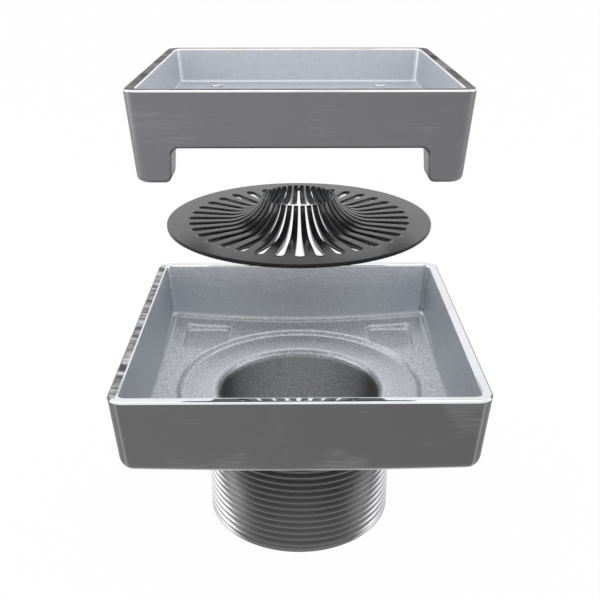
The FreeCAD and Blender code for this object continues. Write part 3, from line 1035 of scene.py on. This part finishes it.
# %% Wind the thread
THREAD_PITCH = 2.309
THREAD_FOOT = 0.6 - THREAD_PITCH / 2
THREAD_TOP = bowed(SPIGOT_RADIUS) - 0.4
THREAD_SINK = 0.15
THREAD_CREST = 0.2
THREAD_ROOT = 2.3
SHARP_FROM = 20
thread_depth = SPIGOT_RADIUS - CORE_RADIUS + THREAD_SINK
thread_height = THREAD_TOP - THREAD_FOOT - THREAD_ROOT
thread = grow("spigot_thread", bpy.data.meshes.new("spigot_thread"), thread_tree, thread_named, {
    "Turns": thread_height / THREAD_PITCH,
    "Radius": (CORE_RADIUS - THREAD_SINK + thread_depth / 2) * MM,
    "Height": thread_height * MM,
    "Depth": thread_depth * MM,
    "Root Width": THREAD_ROOT * MM,
    "Crest Width": THREAD_CREST * MM,
    "Foot": (0, 0, (THREAD_FOOT + THREAD_ROOT / 2) * MM),
    "Material": METALS["thread_cut"]})
crisp = bmesh.new()
crisp.from_mesh(thread.data)
for edge in crisp.edges:
    edge.smooth = edge.calc_face_angle(0) < math.radians(SHARP_FROM)
for face in crisp.faces:
    face.smooth = True
crisp.to_mesh(thread.data)
crisp.free()
thread_points = np.array([vertex.co for vertex in thread.data.vertices]) / MM
thread_reach = np.hypot(thread_points[:, 0], thread_points[:, 1])
print("thread reaches from", round(thread_reach.min(), 2), "to", round(thread_reach.max(), 2), "mm")
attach(thread, "root")

# %% [markdown]
# ## Hair strainer: one finger, thirty-six times
# The strainer is stamped from one thin sheet: slots run in from the flange, and the strips that
# stay between them bend up into an open cone. One ten-degree sector holds a whole rib, from the
# outer edge over the slot's round end to the finger's tip. Geometry Nodes turn it round the axis
# and merge the joints. The sheet is a little thicker near the bend.

# %% Rows of one sector
SLOT_COUNT = 36
SLOT_REACH = 32.7
SLOT_OUTER_HALF = 1.3
SLOT_INNER_HALF = 0.275
TIP_RADIUS = 10.8
SHEET_THICKNESS = 1.0
BEND_THICKENING = 0.9
THICK_REACH = 13.0
FINGER_BEND = 11.0
FINGER_RISE = strainer_high[2] - strainer_low[2] - SHEET_THICKNESS
FLANGE_Z = strainer_low[2] + SHEET_THICKNESS
FLANGE_STOPS = (STRAINER_RADIUS, STRAINER_RADIUS - 0.4, 36.0, 33.6, SLOT_REACH)
half_sector = math.pi / SLOT_COUNT
slot_centre = SLOT_REACH - SLOT_OUTER_HALF
slot_taper = (SLOT_OUTER_HALF - SLOT_INNER_HALF) / (slot_centre - TIP_RADIUS)
bend_sweep = math.acos(1 - FINGER_RISE / FINGER_BEND)
bend_start = TIP_RADIUS + FINGER_BEND * math.sin(bend_sweep)


def thickness(radius):
    """Thickness of the sheet at a distance from the axis, greatest where the bend starts."""
    away = (radius - bend_start) / (THICK_REACH if radius > bend_start else bend_start - TIP_RADIUS)
    return SHEET_THICKNESS + BEND_THICKENING * math.cos(math.pi / 2 * min(1, abs(away))) ** 2


def open_half_angle(radius):
    """Half the angle of the strip between two slots."""
    open_half = SLOT_OUTER_HALF - slot_taper * (slot_centre - radius)
    return half_sector - math.asin(open_half / radius)


# Each row: distance from the axis, rise, half angle and lean of the sheet
rows = [(radius, 0, half_sector, 0) for radius in FLANGE_STOPS]
for angle in arc_steps(15, 90, 6):
    radius = slot_centre + SLOT_OUTER_HALF * math.cos(angle)
    rows.append((radius, 0, half_sector - math.asin(SLOT_OUTER_HALF * math.sin(angle) / radius), 0))
for radius in np.linspace(slot_centre, bend_start, 8)[1:]:
    rows.append((radius, 0, open_half_angle(radius), 0))
for lean in np.linspace(0, bend_sweep, 15)[1:]:
    radius = bend_start - FINGER_BEND * math.sin(lean)
    rows.append((radius, FINGER_BEND * (1 - math.cos(lean)), open_half_angle(radius), lean))
print("sector:", len(rows), "rows, bend starts at", round(bend_start, 2), "mm")

# %% Mesh of one sector
ACROSS = 7
sector_points = []
for side in (0, 1):
    for radius, rise, half_angle, lean in rows:
        depth = side * thickness(radius)
        low_radius = radius - depth * math.sin(lean)
        height = FLANGE_Z + rise - depth * math.cos(lean)
        for share in np.linspace(-1, 1, ACROSS):
            turn = half_angle * share - math.pi / 2 + half_sector
            sector_points.append((low_radius * math.cos(turn), low_radius * math.sin(turn), height))
sector_faces = []
under = len(rows) * ACROSS
for row in range(len(rows) - 1):
    for column in range(ACROSS - 1):
        near = row * ACROSS + column
        top = (near, near + 1, near + ACROSS + 1, near + ACROSS)
        sector_faces.append(top)
        sector_faces.append(tuple(under + i for i in reversed(top)))
    if rows[row + 1][2] < half_sector:
        for near in (row * ACROSS, row * ACROSS + ACROSS - 1):
            sector_faces.append((near, near + ACROSS, under + near + ACROSS, under + near))
for row in (0, len(rows) - 1):
    for near in range(row * ACROSS, row * ACROSS + ACROSS - 1):
        sector_faces.append((near, near + 1, under + near + 1, under + near))
sector = bpy.data.meshes.new("strainer_sector")
sector.from_pydata((np.array(sector_points) * MM).tolist(), [], sector_faces)
print("sector:", len(sector_faces), "faces")

# %% [markdown]
# The strainer's coat is a dark satin paint, not bare metal. Seen at a low angle it still mirrors
# the pale room, which makes the flange look grey and the steep fingers look black. The thin outer
# edge is duller, so it has a coat of its own with less shine.

# %% Strainer coat
COAT_SKIN = {"Grain per mm": 3.0, "Peel per mm": 0.35}
COAT_TONES = ((0.010, 0.010, 0.012), (0.018, 0.018, 0.020))
COAT_ROUGH = (0.14, 0.22)
EDGE_SHINE = 0.15


def coat_finish(name, shine):
    """Dark satin coat with a share of the full reflection."""
    material, tree, shader = new_finish(name, 0.0)
    shader.inputs["IOR"].default_value = 1.55
    shader.inputs["Specular IOR Level"].default_value = 0.5 * shine
    skin = add_node(tree, "ShaderNodeGroup", COAT_SKIN, node_tree=cast_skin)
    tone = tone_mix(tree, spread(tree, (skin, "Mottle"), 0.0, 1.0), *COAT_TONES)
    rough = spread(tree, (skin, "Height"), *COAT_ROUGH)
    dress(tree, shader, tone, rough, (skin, "Height"), 0.12, 0.03)
    return material


COATS = (coat_finish("strainer_coat", 1.0), coat_finish("strainer_edge", EDGE_SHINE))
print("coats:", [coat.name for coat in COATS])

# %% Ring tree
ring_tree, ring_named, r_in, r_out = new_geometry_tree("ring_of_fingers", {
    "Count": "Int", "Merge": "Float", "Material": "Material"})
places = add_node(ring_tree, "GeometryNodePoints")
number = add_node(ring_tree, "GeometryNodeInputIndex")
copies = add_node(ring_tree, "GeometryNodeInstanceOnPoints")
turned = add_node(ring_tree, "ShaderNodeCombineXYZ")
real = add_node(ring_tree, "GeometryNodeRealizeInstances")
weld = add_node(ring_tree, "GeometryNodeMergeByDistance")
cover = add_node(ring_tree, "GeometryNodeSetMaterial")
one_turn = math_node(ring_tree, "DIVIDE", 2 * math.pi, (r_in, "Count"))
turn_so_far = math_node(ring_tree, "MULTIPLY", (number, 0), one_turn)
wire(ring_tree,
     (r_in, "Count", places, "Count"), (*turn_so_far, turned, "Z"),
     (places, 0, copies, "Points"), (r_in, "Geometry", copies, "Instance"),
     (turned, 0, copies, "Rotation"), (copies, 0, real, 0),
     (real, 0, weld, 0), (r_in, "Merge", weld, "Distance"), (weld, 0, cover, 0),
     (r_in, "Material", cover, "Material"), (cover, 0, r_out, 0))
print("tree", ring_tree.name)

# %% [markdown]
# A stamped sheet has no knife edges, so a narrow Bevel follows. The faces of the outer edge are
# then found by where they lie and which way they look.

# %% Grow the strainer
EDGE_ROUND = 0.12
EDGE_ANGLE = 50
EDGE_BAND = 0.2
EDGE_UPRIGHT = 0.8
strainer = grow("strainer_disc", sector, ring_tree, ring_named, {
    "Count": SLOT_COUNT, "Merge": 0.01 * MM, "Material": COATS[0]})
closed = bmesh.new()
closed.from_mesh(strainer.data)
face_outwards(closed, "strainer")
closed.to_mesh(strainer.data)
closed.free()
rounding = strainer.modifiers.new("rounding", "BEVEL")
rounding.width = EDGE_ROUND * MM
rounding.segments = 2
rounding.limit_method = "ANGLE"
rounding.angle_limit = math.radians(EDGE_ANGLE)
rounding.use_clamp_overlap = False
apply_modifiers(strainer)
strainer.data.materials.clear()
for coat in COATS:
    strainer.data.materials.append(coat)
for face in strainer.data.polygons:
    reach = math.hypot(face.center.x, face.center.y) / MM
    on_edge = reach > STRAINER_RADIUS - EDGE_BAND and abs(face.normal.z) < EDGE_UPRIGHT
    face.material_index = int(on_edge)
print("strainer:", len(strainer.data.polygons), "faces")
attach(strainer, "root")
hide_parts("hair_strainer")

# %% [markdown]
# ## Tile insert: cut from a block, then eased
# The insert is a drafted block with a tray sunk in its top and a cross-shaped gap under it that
# leaves four legs. It is made as a machinist would: block, gap and tray are plain solids joined
# by booleans, and one Bevel modifier with a weight for each edge eases every corner.

# %% Block and cutters
INSERT_TOP = insert_high[2]
INSERT_FOOT = insert_low[2]
INSERT_HALF = insert_high[0]
FOOT_HALF = INSERT_HALF - INSERT_HEIGHT * DRAFT
INSERT_CORNER = 3.7
RIM_WIDTH = 2.8
TRAY_Z = INSERT_TOP - 10.3
TRAY_THICKNESS = 3.7
GAP_ROOF = TRAY_Z - TRAY_THICKNESS
TRAY_HALF = INSERT_HALF - RIM_WIDTH
TRAY_CORNER = 1.6
LEG_WIDTH = 8.6
LEG_INNER = FOOT_HALF - LEG_WIDTH
GAP_ROUND = 1.9
OVER = 1.0
FAR = INSERT_HALF + 8


def solid(name, lower, upper):
    """Closed prism between two rings of equally many points, in mm."""
    count = len(lower)
    faces = [tuple(range(count))[::-1], tuple(range(count, 2 * count))]
    for i in range(count):
        j = (i + 1) % count
        faces.append((i, j, count + j, count + i))
    return place_mesh(name, [*lower, *upper], faces)


def gap_section():
    """Half of the gap's section under the tray, as (across, height), from its foot to the middle."""
    lean = math.atan(DRAFT)
    top_half = LEG_INNER - (GAP_ROOF - INSERT_FOOT) * DRAFT
    centre = top_half - GAP_ROUND * (1 - math.sin(lean)) / math.cos(lean)
    points = [(LEG_INNER + OVER * DRAFT, INSERT_FOOT - OVER)]
    for angle in arc_steps(-math.degrees(lean), 90, 8):
        lift = GAP_ROUND * (1 - math.sin(angle))
        points.append((centre + GAP_ROUND * math.cos(angle), GAP_ROOF - lift))
    return points


right_half = gap_section()
section = right_half + [(-across, height) for across, height in reversed(right_half)]
insert = solid("insert_casting", corner_ring(FOOT_HALF, INSERT_CORNER, INSERT_FOOT, 8),
               corner_ring(INSERT_HALF, INSERT_CORNER, INSERT_TOP, 8))
cutters = [
    solid("gap_along_x", [(-FAR, a, h) for a, h in section], [(FAR, a, h) for a, h in section]),
    solid("gap_along_y", [(-a, -FAR, h) for a, h in section], [(-a, FAR, h) for a, h in section]),
    solid("tray", corner_ring(TRAY_HALF - (INSERT_TOP - TRAY_Z) * DRAFT, TRAY_CORNER, TRAY_Z, 6),
          corner_ring(TRAY_HALF + OVER * DRAFT, TRAY_CORNER, INSERT_TOP + OVER, 6))]
print("cutters:", [cutter.name for cutter in cutters])


# %% Cut the block
def cut_away(piece, tools):
    """Take solids away from a piece, and drop them."""
    for tool in tools:
        cut = piece.modifiers.new("cut", "BOOLEAN")
        cut.operation = "DIFFERENCE"
        cut.solver = "EXACT"
        cut.object = tool
        apply_modifiers(piece)
        bpy.data.objects.remove(tool)


cut_away(insert, cutters)
print("insert cut:", len(insert.data.polygons), "faces")

# %% [markdown]
# Each edge now gets a weight by where it lies: the rim's two edges are small, the tray's floor
# and the legs' edges are wide. The weights times the modifier's width are the real radii.

# %% Ease the edges
WIDEST = 1.5
EDGE_ROUNDS = {"rim_outer": 0.45, "rim_inner": 0.5, "tray_floor": 0.8, "foot": 1.5, "leg": 1.2}
SHARP_EDGE = 25
NEAR = 0.01


def edge_place(first, second):
    """Which kind of edge lies between two points in mm, or None."""
    low, high = min(first[2], second[2]), max(first[2], second[2])
    middle = (first + second) / 2
    reach, across = max(abs(middle[:2])), min(abs(middle[:2]))
    if low > INSERT_TOP - NEAR:
        return "rim_outer" if reach > INSERT_HALF - RIM_WIDTH / 2 else "rim_inner"
    if low > TRAY_Z - NEAR:
        return "tray_floor" if high < TRAY_Z + NEAR else None
    if high < INSERT_FOOT + NEAR:
        return "foot"
    wall = INSERT_HALF - (INSERT_TOP - middle[2]) * DRAFT
    if abs(reach - wall) < 3 * NEAR and across < LEG_INNER + 0.3:
        return "leg"
    return None


shape = bmesh.new()
shape.from_mesh(insert.data)
merge_points(shape)
weight = shape.edges.layers.float.new("bevel_weight_edge")
tally = {}
for edge in shape.edges:
    if edge.is_manifold and edge.calc_face_angle(0) > math.radians(SHARP_EDGE):
        kind = edge_place(*(np.array(vert.co) / MM for vert in edge.verts))
        if kind:
            edge[weight] = EDGE_ROUNDS[kind] / WIDEST
            tally[kind] = tally.get(kind, 0) + 1
shape.to_mesh(insert.data)
shape.free()
ease = insert.modifiers.new("ease", "BEVEL")
ease.width = WIDEST * MM
ease.segments = 4
ease.limit_method = "WEIGHT"
ease.use_clamp_overlap = False
apply_modifiers(insert)
print("eased edges:", tally)

# %% [markdown]
# The weep holes are drilled last, in a tray that is already eased, and a short cone at the top
# of each takes off the sharp edge.

# %% Drill the holes
WEEP_PLACE = (25.6, 30.0)
WEEP_RADIUS = 2.0
FLARE = 0.2
DRILL_TOP = TRAY_Z + OVER
DRILL_SHAPES = (
    ((WEEP_RADIUS, GAP_ROOF - OVER), (WEEP_RADIUS, DRILL_TOP)),
    ((WEEP_RADIUS - FLARE, TRAY_Z - 2 * FLARE), (WEEP_RADIUS + FLARE + OVER, DRILL_TOP)))
around = np.radians(np.arange(0, 360, 12))


def drill(x, y, ends):
    """Solid between two circles, each given as (radius, height)."""
    circles = []
    for radius, height in ends:
        circles.append([(x + radius * math.cos(a), y + radius * math.sin(a), height) for a in around])
    return solid("drill", *circles)


drills = []
for x in (-WEEP_PLACE[0], WEEP_PLACE[0]):
    for y in (-WEEP_PLACE[1], WEEP_PLACE[1]):
        drills.extend(drill(x, y, ends) for ends in DRILL_SHAPES)
cut_away(insert, drills)
print("insert drilled:", len(insert.data.polygons), "faces")

# %% [markdown]
# The faces take their finish by where they lie: polished front rim and rim edges, dark flat rims
# at the sides and back, bright hole walls, a pale cast tray, and satin for the rest. Weighted
# normals keep the wide faces flat beside their rounded edges. A highlight is painted along the
# rounding round the tray's floor.

# %% Finish the insert
RIM_DEPTH = 0.62
HOLE_REACH = WEEP_RADIUS + 0.3
TRAY_REACH = TRAY_HALF + 0.05
TRAY_LINE_LOW, TRAY_LINE_HIGH = TRAY_Z + 0.1, TRAY_Z + 0.4
TRAY_HIGHLIGHT = 0.7
FLAT_UP = 0.97
insert_slots = ("insert_outer", "tray_inside", "tray_polish", "side_rim", "hole_polish")


def insert_finish(centre, upwards):
    """Finish of an insert's face by its centre in mm and how far it looks upwards."""
    x, y, height = centre
    if height > INSERT_TOP - RIM_DEPTH:
        return "side_rim" if y > -abs(x) and upwards > FLAT_UP else "tray_polish"
    if math.dist((abs(x), abs(y)), WEEP_PLACE) < HOLE_REACH and height < TRAY_Z - NEAR:
        return "hole_polish"
    in_tray = max(abs(x), abs(y)) < TRAY_REACH and height > GAP_ROOF + 0.1
    return "tray_inside" if in_tray else "insert_outer"


insert.data.materials.clear()
for name in insert_slots:
    insert.data.materials.append(METALS[name])
for face in insert.data.polygons:
    face.use_smooth = True
    face.material_index = insert_slots.index(insert_finish(np.array(face.center) / MM, face.normal.z))
steady = insert.modifiers.new("steady", "WEIGHTED_NORMAL")
steady.weight = 100
steady.keep_sharp = False
apply_modifiers(insert)
# Painted highlight along the rounding round the tray's floor.
tray_highlight = insert.data.attributes.new("painted_light_and_shade", "FLOAT", "POINT")
for vertex, light_and_shade in zip(insert.data.vertices, tray_highlight.data):
    x, y, height = np.array(vertex.co) / MM
    on_line = TRAY_LINE_LOW < height < TRAY_LINE_HIGH and max(abs(x), abs(y)) < TRAY_REACH
    light_and_shade.value = TRAY_HIGHLIGHT if on_line else 0.0
print("tray line points:", sum(light_and_shade.value > 0 for light_and_shade in tray_highlight.data))
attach(insert, "root")
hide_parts("tile_insert")

# %% [markdown]
# ## Studio: pale floor and soft light
# The drain stands on a plain white sweep. World and floor are white for the camera and for what
# the metal mirrors, and a trace of the matte floor below keeps the object's shadow. One broad
# soft light hangs above, and two tall ones at the sides draw the bright lines along the corners.

# %% Floor and world
FLOOR_SIZE = 4000
FLOOR_WHITE = 0.98
WORLD_LIGHT = 0.85


def show_white(tree, lit, seen, output, rays, share):
    """Let the named rays see a share of one shader over the other, which lights the object."""
    path = add_node(tree, "ShaderNodeLightPath")
    mask = 0.0
    for ray in rays:
        mask = math_node(tree, "MAXIMUM", mask, (path, ray))
    mask = math_node(tree, "MULTIPLY", mask, share)
    blend = add_node(tree, "ShaderNodeMixShader")
    wire(tree, (*mask, blend, 0), (lit, 0, blend, 1), (seen, 0, blend, 2), (blend, 0, output, "Surface"))


floor = place_mesh("floor", corner_ring(FLOOR_SIZE, 0, 0, 0), [(0, 1, 2, 3)])
pale = bpy.data.materials.new("pale_floor")
pale.use_nodes = True
pale_tree = pale.node_tree
pale_tree.nodes.clear()
show_white(
    pale_tree, add_node(pale_tree, "ShaderNodeBsdfDiffuse", {"Color": (0.8, 0.8, 0.8, 1)}),
    add_node(pale_tree, "ShaderNodeEmission", {"Strength": 1.0}),
    add_node(pale_tree, "ShaderNodeOutputMaterial"), ("Is Camera Ray", "Is Glossy Ray"), FLOOR_WHITE)
floor.data.materials.append(pale)

world = bpy.data.worlds.new("pale_room")
world.use_nodes = True
bpy.context.scene.world = world
sky = world.node_tree
sky.nodes.clear()
lit, seen = (
    add_node(sky, "ShaderNodeBackground", {"Color": (1, 1, 1, 1), "Strength": strength})
    for strength in (WORLD_LIGHT, 1.0))
show_white(sky, lit, seen, add_node(sky, "ShaderNodeOutputWorld"),
           ("Is Camera Ray", "Is Glossy Ray", "Is Transmission Ray"), 1.0)
print("floor and world:", floor.name, world.name)

# %% Lights
LIGHT_TARGET = Vector((0, 0, 0.07))
# Each light: name, place, (width, height) in metres, power in watts
SOFT_LIGHTS = (
    ("top_softbox", (0.0, 0.15, 0.75), (0.7, 0.7), 0.85),
    ("left_strip", (-0.55, -0.02, 0.15), (0.2, 0.6), 1.3),
    ("right_strip", (0.55, -0.02, 0.15), (0.2, 0.6), 0.7))

for name, place, size, power in SOFT_LIGHTS:
    lamp = bpy.data.lights.new(name, "AREA")
    lamp.shape = "RECTANGLE"
    lamp.size, lamp.size_y = size
    lamp.energy = power
    light = bpy.data.objects.new(name, lamp)
    light.location = place
    light.rotation_euler = (LIGHT_TARGET - Vector(place)).to_track_quat("-Z", "Y").to_euler()
    bpy.context.scene.collection.objects.link(light)
print("lights:", [name for name, *_ in SOFT_LIGHTS])
